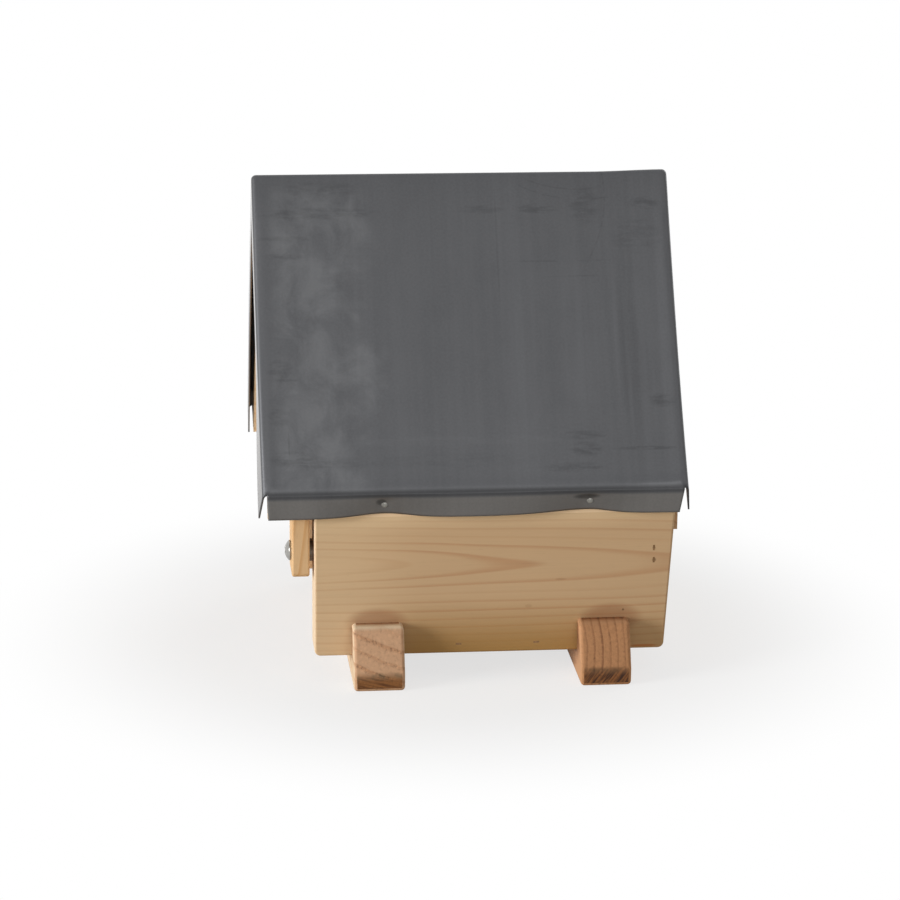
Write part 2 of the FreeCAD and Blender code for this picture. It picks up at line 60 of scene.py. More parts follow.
def paint(code):
    """Colour written as six hex digits, as the linear values that the shader takes."""
    value = np.array([int(code[place:place + 2], 16) for place in (0, 2, 4)]) / 255
    linear = np.where(value <= 0.04045, value / 12.92, ((value + 0.055) / 1.055) ** 2.4)
    return (*linear.tolist(), 1.0)


def operators(operation):
    """Python's operator for a Math node, and its reflected form for a number on the left."""
    return (lambda self, other: self.math(operation, self, other),
            lambda self, other: self.math(operation, other, self))


class Wire:
    """One socket of a material. Arithmetic on it adds Math nodes, and made() a node of any other kind."""

    __add__, __radd__ = operators("ADD")
    __sub__, __rsub__ = operators("SUBTRACT")
    __mul__, __rmul__ = operators("MULTIPLY")
    __truediv__, __rtruediv__ = operators("DIVIDE")
    __pow__, __rpow__ = operators("POWER")

    def __init__(self, socket):
        self.socket = socket

    def made(self, kind, settings, sockets, output=0):
        node = self.socket.id_data.nodes.new(kind)
        for name, value in settings.items():
            setattr(node, name, value)
        for name, value in sockets.items():
            if isinstance(value, Wire):
                self.socket.id_data.links.new(value.socket, node.inputs[name])
            else:
                node.inputs[name].default_value = value
        return Wire(node.outputs[output])

    def math(self, operation, *values):
        return self.made("ShaderNodeMath", {"operation": operation}, dict(enumerate(values)))

    def beside(self, output):
        """Another output of the node that this one comes from."""
        return Wire(self.socket.node.outputs[output])

    def feeds(self, node, name):
        self.socket.id_data.links.new(self.socket, node.inputs[name])

    def parts(self):
        """The three components of a vector."""
        first = self.made("ShaderNodeSeparateXYZ", {}, {0: self})
        return first, first.beside(1), first.beside(2)

    def size(self):
        return self.math("ABSOLUTE", self)

    def rise(self, low, high):
        """From 0 at low to 1 at high, eased at both ends."""
        return self.made("ShaderNodeMapRange", {"interpolation_type": "SMOOTHSTEP"},
                         {"Value": self, "From Min": low, "From Max": high})

    def noise(self, scales, shift, detail=2.0, output=0, **sockets):
        """Noise of this place, stretched by its own scale along each axis."""
        stretched = self.made("ShaderNodeVectorMath", {"operation": "MULTIPLY_ADD"},
                              {0: self, 1: scales, 2: shift})
        return self.made("ShaderNodeTexNoise", {},
                         {"Vector": stretched, "Scale": 1.0, "Detail": detail, **sockets}, output)

    def tilts(self, shader, strength, depth):
        """Let this height bend the light on a shader's surface."""
        bump = self.made("ShaderNodeBump", {}, {"Strength": strength, "Distance": depth, "Height": self})
        bump.feeds(shader, "Normal")

    def over(self, under, cover):
        """Colour that goes from under to cover as this value goes from 0 to 1."""
        return self.made("ShaderNodeMix", {"data_type": "RGBA"}, {0: self, 6: under, 7: cover}, 2)

    def shades(self, colour):
        """Colour made darker or lighter by this value."""
        return self.made("ShaderNodeVectorMath", {"operation": "SCALE"}, {0: colour, "Scale": self})


def new_finish(name):
    """Empty finish: the material, its shader, and the wire that gives a surface point's place."""
    material = bpy.data.materials.new(name)
    material.use_nodes = True
    shader = material.node_tree.nodes["Principled BSDF"]
    place = Wire(material.node_tree.nodes.new("ShaderNodeTexCoord").outputs["Object"])
    return material, shader, place


def pine(name, grain, pith, lean, ring, pale, late, wander=0.006, cut=None, marks=None):
    """Board sawn from a log, with the log's rings running through it.

    grain orders the axes, along the fibres first. A ring is a circle about the pith, which passes through
    the point pith and leans off the grain. Distance from it over the ring width has the ring's number as its
    whole part, and the place in the ring as the rest: pale early wood, then a thin late line. A slow noise
    bends the rings along the log, and a fine one drawn out along the grain makes fibres. Where the surface
    faces along the fibres the colours go to those of cut: the bevelled wood with pores along its rings, then
    the square end with a dirty arris round it and with saw marks, a noise drawn out along their slant.
    """
    material, shader, place = new_finish(name)
    axes = dict(zip("xyz", place.parts()))
    along, across, through = (axes[letter] for letter in grain)
    log = place.made("ShaderNodeCombineXYZ", {}, {0: along, 1: across, 2: through})
    shift = tuple(np.random.default_rng(sum(map(ord, name))).uniform(3, 40, 3))
    bend, other_bend, _ = log.noise((7, 16, 16), shift, 1.0, "Color").parts()
    run = along - pith[0]
    side = across - pith[1] - run * lean[0] + (bend - 0.5) * wander
    depth = through - pith[2] - run * lean[1] + (other_bend - 0.5) * wander
    rings = (side ** 2.0 + depth ** 2.0) ** 0.5 / ring + log.noise((5, 60, 60), shift, 2.0) * 0.7
    phase = rings.math("FRACT", rings)
    number = rings.math("FLOOR", rings)
    weight = number.made("ShaderNodeTexWhiteNoise", {"noise_dimensions": "1D"}, {"W": number}) * 0.7 + 0.3
    late_line = (phase.rise(0.56, 0.87) * 0.85 + phase * 0.15) * (1 - phase.rise(0.88, 1.0)) * weight
    fibre = log.noise((30, 1100, 1100), shift, 3.0)
    cloud = log.noise((12, 40, 40), shift, 2.0)
    fleck = log.noise((140, 2400, 2400), shift, 1.0).rise(0.66, 0.78)
    colour = late_line.over(paint(pale), paint(late))
    if marks:
        colour = marks(axes, colour)
    light = 0.9 + fibre * 0.1 + cloud * 0.12 - fleck * 0.08
    relief = fibre * 0.6 + late_line * 0.4 - fleck * 0.4
    if cut:
        faced = place.beside("Normal").parts()["xyz".index(grain[0])].size()
        sawn = faced.rise(0.3, 0.8)
        square = faced.rise(0.962, 0.999)
        pores = log.noise((90, 700, 700), shift, 1.0)
        open_pores = pores.rise(0.56, 0.66) * (0.28 + late_line)
        filled_pores = pores.rise(0.43, 0.33) * (0.28 + late_line)
        slant = math.radians(cut["slant"])
        stroke = across * math.cos(slant) + through * math.sin(slant)
        feed = through * math.cos(slant) - across * math.sin(slant)
        teeth = log.made("ShaderNodeCombineXYZ", {}, {0: stroke, 1: feed})
        marks_of_saw = teeth.noise((70, 900, 0), shift, 2.0).rise(0.40, 0.62)
        face = (late_line * cut["strength"]).over(paint(cut["bevel"]), paint(cut["line"]))
        end = marks_of_saw.over(paint(cut["end"]), paint(cut["end_line"]))
        colour = sawn.over(colour, square.over(face, end))
        edge = square * (1 - square) * 4 * log.noise((50, 260, 260), shift, 2.0).rise(0.35, 0.6)
        colour = (edge * 0.6).over(colour, paint(cut["arris"]))
        light = light + sawn * (filled_pores * 0.26 - open_pores * 0.32)
        relief = relief - sawn * open_pores * 1.5
    light.shades(colour).feeds(shader, "Base Color")
    (0.66 - late_line * 0.1 + fibre * 0.08).feeds(shader, "Roughness")
    shader.inputs["Specular IOR Level"].default_value = 0.3
    relief.tilts(shader, 0.2, 0.0003)
    return material


def add_object(name, data):
    """New object in the scene, at the origin."""
    piece = bpy.data.objects.new(name, data)
    bpy.context.scene.collection.objects.link(piece)
    return piece


def extrusion(name, outline, start, end):
    """Piece whose closed outline, across the house and up, is carried along it from start to end.

    The outline goes round so that its area is positive. Its points at the start and at the end are joined by
    one quad for each side, and each end is one face.
    """
    count = len(outline)
    points = np.concatenate([np.insert(outline, 0, start, axis=1), np.insert(outline, 0, end, axis=1)])
    this = np.arange(count)
    following = (this + 1) % count
    sides = np.stack([this, following, following + count, this + count], 1)
    mesh = bpy.data.meshes.new(name)
    mesh.from_pydata(points.tolist(), [], [this[::-1].tolist(), (this + count).tolist(), *sides.tolist()])
    mesh.polygons.foreach_set("use_smooth", np.ones(len(mesh.polygons), bool))
    return add_object(name, mesh)


def rubbed(piece, corners, radius, past=0.0):
    """Round the arrises of an extrusion: each corner of its outline by its own radius, and both ends by one.

    The ends are rounded only where they reach further than past from the middle of the house.
    """
    mesh = piece.data
    places = np.empty(len(mesh.vertices) * 3, np.float32)
    mesh.vertices.foreach_get("co", places)
    ends = np.empty(len(mesh.edges) * 2, np.int32)
    mesh.edges.foreach_get("vertices", ends)
    first, last = np.sort(ends.reshape(-1, 2), axis=1).T
    reach = np.abs(places.reshape(-1, 3)[:, 1])
    lies_along = last - first == len(corners)
    rounding = np.where(lies_along, corners[first % len(corners)],
                        radius * (np.maximum(reach[first], reach[last]) > past))
    weight = mesh.attributes.new("bevel_weight_edge", "FLOAT", "EDGE")
    weight.data.foreach_set("value", (rounding / rounding.max()).astype(np.float32))
    bevel = piece.modifiers.new("rubbed", "BEVEL")
    bevel.limit_method = "WEIGHT"
    bevel.width = rounding.max()
    bevel.segments = 4
    bevel.harden_normals = True
    return piece


def foot_top_shade(axes, colour):
    """Painted shade at the top of the foot, where it meets the wall, from just under its level."""
    return (axes["z"].rise(*TOP_SHADE_LEVELS) * TOP_SHADE).over(colour, paint("8f5f3c"))


half_foot = np.stack([FOOT_REACH, FOOT_LEVEL], 1)
foot_outline = np.concatenate([half_foot, half_foot[::-1] * (-1, 1)])
foot_corners = np.concatenate([FOOT_CORNERS, FOOT_CORNERS[::-1]])
foot_finishes = {
    "front_foot": pine("front_foot_pine", "yxz", (0.0, -0.080, -0.079), (0.03, 0.05), 0.0064,
                       "e2cbac", "cda681",
                       cut={"bevel": "c9a07e", "line": "a8764f", "strength": 0.6, "end": "885a31",
                            "end_line": "5f3a1c", "arris": "75644a", "slant": -14}),
    "rear_foot": pine("rear_foot_pine", "yxz", (0.0, -0.030, 0.019), (0.05, 0.02), 0.0038,
                      "c99a72", "91623f", wander=0.005,
                      cut={"bevel": "b8865d", "line": "6b4127", "strength": 0.8, "end": "845530",
                           "end_line": "3a2113", "arris": "5f452c", "slant": 52}, marks=foot_top_shade),
}
for node, finish in foot_finishes.items():
    low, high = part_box(node)
    foot = rubbed(extrusion(node + "_rubbed", foot_outline, low.x, high.x), foot_corners, FOOT_ROUNDING,
                  ROUNDED_PAST)
    foot.data.materials.append(finish)
    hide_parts(node)
    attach(foot, "house")


# Floor board
# A planed pine board that lies between the side walls, level with their bottoms.
# It is pinned through the walls and through the feet, and closes the bay below.
def dress(node, finish):
    """Give a piece of the frame its finish."""
    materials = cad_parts[node].data.materials
    materials.clear()
    materials.append(finish)


dress("floor_board", pine("floor_pine", "xyz", (0.0, 0.02, -0.03), (0.02, 0.03), 0.0045, "e2c29b", "cfa57b"))


# Side walls
# Two planed pine boards on edge, sawn near the heart of the log, so that a long pointed flame shows outside.
# Their tops are bevelled to the roof, their rear ends cut on a slant and their outer arrises rounded.
# Where each mark on the near wall begins, and where it is full
OUTSIDE = (-0.0745, -0.0765)
PAINTED_LIGHT_TOP = (0.074, 0.084)
PAINTED_LIGHT_FRONT = (-0.020, -0.070)
PAINTED_LIGHT_MOST = 0.7
LOW_SHADE_TOP = (0.046, 0.013)
LOW_SHADE_FRONT = (-0.060, -0.025)
LOW_SHADE_REAR = (0.085, 0.045)
PAINTED_LIGHT_END = (-0.0768, -0.0775)
# Middle along the house, level, half length, half height, strength and stain; the first two are painted
# shadow above the feet
SCUFFS_AND_FOOT_SHADOWS = ((-0.0469, 0.0297, 0.0175, 0.0085, 0.52, "94603c"), (0.0686, 0.0297, 0.0175, 0.0085, 0.52, "94603c"),
          (0.0432, 0.0500, 0.0034, 0.0007, 0.30, "94704a"), (0.0275, 0.0365, 0.0022, 0.0012, 0.22, "94704a"),
          (0.0891, 0.0651, 0.0009, 0.0011, 0.85, "5a4630"), (0.0893, 0.0589, 0.0012, 0.0012, 0.75, "6b5236"),
          (0.0745, 0.0335, 0.0007, 0.0007, 0.90, "6b5138"), (0.0850, 0.0146, 0.0085, 0.0008, 0.75, "b06a34"))


def ellipse(along, up, middle, length, level, height):
    """How far a place is from the middle of an ellipse, squared: 0 there and 1 on the rim."""
    return ((along - middle) / length) ** 2.0 + ((up - level) / height) ** 2.0


def near_wall_marks(axes, colour):
    """Painted light along the top and towards the front, and on the front end.

    The outside also has painted shade, darker and yellower low between the feet, a painted shadow above each
    foot, and scuffs, each an ellipse.
    """
    x, z = axes["x"], axes["z"]
    outside = axes["y"].rise(*OUTSIDE)
    # Painted light: the wall is painted paler along the top, under the eave, and towards the front end.
    painted_light = z.rise(*PAINTED_LIGHT_TOP) * 0.6 + x.rise(*PAINTED_LIGHT_FRONT) * 0.35
    colour = painted_light.math("MINIMUM", painted_light, PAINTED_LIGHT_MOST).over(colour, paint("e4c9a2"))
    # Painted shade: the outside is painted darker and yellower low between the feet, in place of shade and
    # warm bounced light.
    between = x.rise(*LOW_SHADE_FRONT) * (0.5 + x.rise(*LOW_SHADE_REAR) * 0.5)
    colour = (z.rise(*LOW_SHADE_TOP) * between * outside * 0.9).over(colour, paint("a57d43"))
    # The first two ellipses paint a shadow on the wall above each foot; the others are scuffs and marks.
    for middle, level, length, height, strength, stain in SCUFFS_AND_FOOT_SHADOWS:
        inside = ellipse(x, z, middle, length, level, height).rise(1.0, 0.2)
        colour = (inside * outside * strength).over(colour, paint(stain))
    # Painted light: the front end, which faces the lamp, is painted paler.
    return (x.rise(*PAINTED_LIGHT_END) * 0.8).over(colour, paint("ecd6ba"))


dress("near_side_wall", pine("near_wall_pine", "xyz", (-0.034, -0.0730, 0.0585), (0.055, 0.0), 0.0037,
                             "caab86", "bd9570", marks=near_wall_marks))
dress("far_side_wall", pine("far_wall_pine", "xyz", (0.010, 0.0830, 0.050), (-0.04, 0.01), 0.0037,
                            "caab86", "bd9570"))


# Rear board and front gable
# The rear board closes the house from the floor to the ridge, and the gable fills the peak above the bay.
# Both are planed pine between the walls and the roof boards, pinned through them.
dress("rear_board", pine("rear_pine", "zyx", (0.1, 0.015, 0.055), (0.01, 0.02), 0.0050, "e3c29b", "cfa478"))
dress("front_gable", pine("gable_pine", "yzx", (0.0, 0.150, -0.045), (0.02, 0.02), 0.0040,
                          "e4c39c", "d2a87e"))


# Roof boards
# Two pine boards meet under the ridge and carry the sheet, with their grain along the house.
# They lie on the walls, the gable and the rear board, and are pinned down into these.
dress("near_roof_board", pine("near_roof_pine", "xyz", (0.0, -0.020, 0.10), (0.02, 0.03), 0.0048,
                              "ecd0ad", "d9b284"))
dress("far_roof_board", pine("far_roof_pine", "xyz", (0.0, 0.030, 0.11), (-0.02, 0.03), 0.0048,
                             "f1ddc2", "e4c59d"))


# Brads
# Flat wire brads from a nail gun hold the boards to each other, their heads driven just level with the wood.
# They are galvanised steel that has gone dull and brown where the wood's acid has reached it.
def plated(name, colour, stain, roughness):
    """Dull plated steel: a fine noise mottles the plating, and a slow one lets the stain through."""
    material, shader, place = new_finish(name)
    mottle = place.noise((900, 900, 900), (5, 9, 2), 3.0)
    patch = place.noise((260, 260, 260), (1, 7, 4), 2.0).rise(0.45, 0.7)
    (0.7 + mottle * 0.6).shades((patch * 0.6).over(paint(colour), paint(stain))).feeds(shader, "Base Color")
    (roughness + mottle * 0.2 + patch * 0.1).feeds(shader, "Roughness")
    shader.inputs["Metallic"].default_value = 0.6
    mottle.tilts(shader, 0.2, 0.0001)
    return material


brad_steel = plated("brad_steel", "8a6a48", "5c432a", 0.5)
for node in ("roof_board_brads", "rear_brads", "floor_brads", "foot_brads", "lath_brads"):
    dress(node, brad_steel)


# Roof sheet
# One sheet of zinc, bent over the ridge, with its eaves and verges folded down and the corners notched open.
# The nails have drawn the eave flanges in towards the walls, and the near verge flanges spring out below.

# In mm, and the flares in degrees. The notches, the pull of a nail and the flares are for the front, then
# the rear. The widths of a dent and the waves of the belly are along the house, then down.
GAUGE = 0.8
HALF_DEPTH = 84.5
EAVE = 96.9
RISE = 143.2
HALF_LENGTH = 102.5
SLOPE_LENGTH = math.hypot(HALF_DEPTH, RISE)
DOWN = np.array([-HALF_DEPTH, -RISE]) / SLOPE_LENGTH
OUT = np.array([-RISE, HALF_DEPTH]) / SLOPE_LENGTH
RIDGE_RADIUS = 3.0
EAVE_RADIUS = 1.8
VERGE_RADIUS = 2.4
EAVE_FLANGE = 12.0
VERGE_FLANGE = 12.5
VERGE_TIP = 8.0
NOTCH = (0.5, 2.2)
NAILS = (-43.8, 56.5)
NAIL_DROP = 6.5
NAIL_PULL = math.radians(24)
PULL_WIDTHS = ((21.0, 19.0), (28.0, 16.0))
DIMPLE = 0.8
DIMPLE_WIDTHS = (3.2, 2.2)
CREASE = 0.4
CREASE_ABOVE = 2.8
CREASE_WIDTHS = (6.5, 1.3)
FLARES = {"near": (9.0, 8.0), "far": (0.0, 3.0)}
FLARE_FROM = 70.0
TIP_RUN = 40.0
# How far each verge spreads at the ridge, and the change from there to the eave
SPREADS = ((-1.2, 0.7), (1.0, 1.4))
SPREAD_FROM = 40.0
RIDGE_LIFT = 0.8
LIFT_FROM = 65.0
LIFT_DOWN = 30.0
BEAD = 0.45
BEAD_INSET = 4.5
BEAD_WIDTH = 2.6
ROLL = 0.30
ROLL_MORE = 0.55
ROLL_REAR = (60.0, 100.0)
ROLL_INSET = 3.6
ROLL_WIDTH = 2.6
BELLY = 0.35
BELLY_WAVES = (31.0, 37.0)
BELLY_SHIFTS = (0.6, 0.3)


def smooth(value, low, high):
    """From 0 at low to 1 at high, eased at both ends."""
    part = np.clip((value - low) / (high - low), 0, 1)
    return part * part * (3 - 2 * part)


def bell(value, width):
    return np.exp(-(value / width) ** 2)


def half_sheet(flares):
    """Near half of the sheet in mm, and the place of each point on the flat sheet before it was folded.

    A row is one level of the section, from the eave up to the top of the ridge, and a column one place along
    the house. A point stands on the slope at its row's distance from the ridge. Past the verge fold it goes
    on inwards through a quarter circle and straight down the flange, as far as the middle of the house lets
    it; the flange swings out by its flare, and near the eave it slides on down to its tip. Beads stand along
    the verge folds and a roll along the eave, and the panel swells in waves between them. Below the fold the
    eave flange hangs plumb, swings in about the fold by a bell at each nail, and is dented round it. The fold
    is a curve between the two with the sharp corner as its control point.
    """
    lean_of_slope = math.atan2(HALF_DEPTH, RISE)
    ridge_turn = math.pi / 2 - lean_of_slope
    ridge_tangent = RIDGE_RADIUS * math.tan(ridge_turn)
    eave_tangent = EAVE_RADIUS * math.tan(lean_of_slope / 2)
    lowest = SLOPE_LENGTH - eave_tangent
    on_slope = np.concatenate([np.linspace(lowest, lowest - 13, 13),
                               np.linspace(lowest - 14, ridge_tangent, 48)])
    turn = np.linspace(0, ridge_turn, 9)[1:]
    distance = np.concatenate([on_slope, ridge_tangent - RIDGE_RADIUS * turn])
    round_ridge = np.stack([-np.sin(ridge_turn - turn), np.cos(ridge_turn - turn)], 1)
    outward = np.concatenate([np.tile(OUT, (len(on_slope), 1)), round_ridge])
    ridge_centre = np.array([0, EAVE + RISE - RIDGE_RADIUS / math.sin(lean_of_slope)])
    base = np.concatenate([np.array([0, EAVE + RISE]) + on_slope[:, None] * DOWN,
                           ridge_centre + RIDGE_RADIUS * round_ridge])
    to_middle = np.where(base[:, 0] < -1e-6, base[:, 0] / np.minimum(outward[:, 0], -1e-9), RIDGE_RADIUS)
    flange = np.minimum(VERGE_FLANGE, to_middle)

    flat = HALF_LENGTH - VERGE_RADIUS
    panel = np.linspace(-flat, flat, 181)
    quarter = np.linspace(0, math.pi / 2, 6)[1:]
    fall = np.linspace(0, 1, 9)[1:]
    edge = len(quarter) + len(fall)
    level = np.concatenate([np.full(edge, -flat), panel, np.full(edge, flat)])
    side = np.concatenate([-np.ones(edge), np.zeros(len(panel)), np.ones(edge)])
    folded = np.concatenate([np.full(len(fall), math.pi / 2), quarter[::-1], np.zeros(len(panel)), quarter,
                             np.full(len(fall), math.pi / 2)])
    share = np.concatenate([fall[::-1], np.zeros(len(panel) + 2 * len(quarter)), fall])
    hung = share * (flange[:, None] - VERGE_RADIUS)
    depth = VERGE_RADIUS * (1 - np.cos(folded)) + hung
    sprung = smooth(distance, FLARE_FROM, SLOPE_LENGTH)[:, None] ** 1.5
    flare = np.tan(np.radians(np.where(side < 0, *flares))) * sprung
    lower = ((distance / SLOPE_LENGTH) ** 3)[:, None]
    spread = sum((at_ridge + change * lower) * smooth(np.sign(at_ridge) * level, SPREAD_FROM, flat)
                 for at_ridge, change in SPREADS)
    x = level + side * (VERGE_RADIUS * np.sin(folded) + hung * flare) + spread
    slide = VERGE_TIP * depth / VERGE_FLANGE * smooth(distance, SLOPE_LENGTH - TIP_RUN, SLOPE_LENGTH)[:, None]

    inset = HALF_LENGTH - np.abs(level)
    from_eave = (SLOPE_LENGTH - distance)[:, None]
    bead = BEAD * bell(inset - BEAD_INSET, BEAD_WIDTH) * smooth(from_eave, 0, 5)
    roll_height = ROLL + ROLL_MORE * smooth(level, *ROLL_REAR)
    roll = roll_height * bell(from_eave - ROLL_INSET, ROLL_WIDTH) * smooth(from_eave, 0, 3)
    belly = (BELLY * np.sin(level / BELLY_WAVES[0] + BELLY_SHIFTS[0])
             * np.sin(from_eave / BELLY_WAVES[1] + BELLY_SHIFTS[1]) * smooth(from_eave, 4, 40))
    lift = (bead + roll + belly) * smooth(inset, 1.6, 3.5) * smooth(distance, 6, 30)[:, None] * (side == 0)
    section = base[:, None] + slide[..., None] * DOWN + (lift - depth)[..., None] * outward[:, None]
    by_ridge = smooth(LIFT_DOWN - distance, 0, LIFT_DOWN)[:, None]
    section[..., 1] += RIDGE_LIFT * smooth(level, LIFT_FROM, flat) * by_ridge
    slope = np.concatenate([x[..., None], section], 2)

    drop = np.linspace(EAVE_FLANGE, eave_tangent, 12)[:, None]
    inner = slice(edge, -edge)
    pull = NAIL_PULL * sum(bell(panel - nail, np.where(panel < nail, before, after))
                           for nail, (before, after) in zip(NAILS, PULL_WIDTHS))
    tapered = panel * (1 - np.where(panel < 0, *NOTCH) / flat
                       * (drop - eave_tangent) / (EAVE_FLANGE - eave_tangent))
    below_nail = drop - NAIL_DROP
    dent = sum(DIMPLE * bell(tapered - nail, DIMPLE_WIDTHS[0]) * bell(below_nail, DIMPLE_WIDTHS[1])
               + CREASE * bell(tapered - nail, CREASE_WIDTHS[0])
               * bell(below_nail + CREASE_ABOVE, CREASE_WIDTHS[1]) for nail in NAILS)
    eave_flange = np.full((len(drop), len(level), 3), np.nan)
    eave_flange[:, inner] = np.stack([tapered + spread[0, inner], -HALF_DEPTH + drop * np.sin(pull) + dent,
                                      EAVE - drop * np.cos(pull)], 2)
    step = np.linspace(0, 1, 6)[1:-1, None, None]
    corner = np.stack([x[0, inner], np.full(len(panel), -HALF_DEPTH), np.full(len(panel), EAVE)], 1)
    fold = np.full((len(step), len(level), 3), np.nan)
    fold[:, inner] = ((1 - step) ** 2 * eave_flange[-1, inner] + 2 * step * (1 - step) * corner
                      + step ** 2 * slope[0, inner])

    up = np.concatenate([SLOPE_LENGTH + drop[:, 0], np.full(len(step), SLOPE_LENGTH), distance])[:, None]
    unfolded = level + side * (VERGE_RADIUS * folded + VERGE_FLANGE * share)
    return np.concatenate([eave_flange, fold, slope]), np.stack(np.broadcast_arrays(unfolded, -up), 2)


near, near_flat = half_sheet(FLARES["near"])
far, far_flat = half_sheet(FLARES["far"])
points = np.concatenate([near, far[-2::-1] * (1, -1, 1)]) / 1000
flat_places = np.concatenate([near_flat, far_flat[-2::-1] * (1, -1)]) / 1000
index = np.arange(points[..., 0].size).reshape(points.shape[:2])
quads = np.stack([index[:-1, :-1], index[:-1, 1:], index[1:, 1:], index[1:, :-1]], 2).reshape(-1, 4)
present = ~np.isnan(points[..., 0]).ravel()
quads = quads[present[quads].all(1)]
mesh = bpy.data.meshes.new("formed_roof_sheet")
mesh.from_pydata(points.reshape(-1, 3)[present].tolist(), [], (np.cumsum(present) - 1)[quads].tolist())
flat_map = mesh.uv_layers.new(name="flat")
flat_map.data.foreach_set("uv", flat_places.reshape(-1, 2)[quads.ravel()].ravel().astype(np.float32))
mesh.polygons.foreach_set("use_smooth", np.ones(len(quads), bool))
roof_sheet = add_object("formed_roof_sheet", mesh)
roof_sheet.modifiers.new("seams", "WELD").merge_threshold = 0.00001
gauge = roof_sheet.modifiers.new("gauge", "SOLIDIFY")
gauge.thickness = GAUGE / 1000
gauge.offset = -1
gauge.use_even_offset = True

# Marks on the flat sheet, in metres along the house and down from the ridge: middle, half length, level, half
# height and how much darker, or with a minus sign lighter
RUBS = ((-0.070, 0.034, 0.0235, 0.0036, 0.24), (-0.070, 0.022, 0.0110, 0.0050, 0.16),
        (0.010, 0.014, 0.0220, 0.0030, 0.16), (0.037, 0.012, 0.0220, 0.0030, 0.22),
        (0.060, 0.009, 0.0210, 0.0120, 0.18), (0.085, 0.016, 0.0360, 0.0120, 0.12),
        (-0.088, 0.014, 0.0366, 0.0022, 0.18), (-0.088, 0.013, 0.0456, 0.0022, 0.18),
        (-0.092, 0.007, 0.1030, 0.0060, 0.22), (-0.089, 0.011, 0.1084, 0.0010, 0.20),
        (-0.093, 0.007, 0.1270, 0.0055, 0.20), (-0.0886, 0.0006, 0.1405, 0.0080, 0.16),
        (-0.087, 0.013, 0.1480, 0.0050, 0.26), (-0.070, 0.018, 0.1510, 0.0025, 0.16),
        (0.090, 0.009, 0.0200, 0.0040, 0.22), (0.093, 0.008, 0.1215, 0.0045, 0.26),
        (0.053, 0.014, 0.1385, 0.0028, 0.22), (0.055, 0.009, 0.1455, 0.0045, 0.28),
        (0.084, 0.020, 0.1455, 0.0013, 0.24), (0.049, 0.018, 0.1545, 0.0030, 0.22),
        (0.0785, 0.0065, 0.1000, 0.0800, 0.12), (0.0725, 0.0014, 0.0850, 0.0500, -0.08),
        (0.0165, 0.0008, 0.0420, 0.0360, 0.12), (0.0960, 0.0040, 0.0900, 0.0700, -0.06),
        (0.050, 0.034, 0.0493, 0.0007, 0.14), (0.055, 0.022, 0.0573, 0.0006, 0.12),
        (-0.020, 0.070, 0.1500, 0.0045, 0.06), (-0.010, 0.080, 0.1400, 0.0030, -0.07),
        (0.030, 0.012, 0.0900, 0.0600, -0.05), (0.055, 0.014, 0.0900, 0.0500, -0.07),
        (-0.0455, 0.0032, 0.1712, 0.0024, 0.55), (0.0545, 0.0075, 0.1700, 0.0020, 0.60))
# Scratches along an arc: its middle, level and radius, and where along the house it starts and ends
ARCS = ((0.060, -0.0506, 0.0680, 0.025, 0.083), (0.058, -0.0530, 0.0650, 0.029, 0.072),
        (0.0028, 0.0142, 0.0680, 0.057, 0.077))


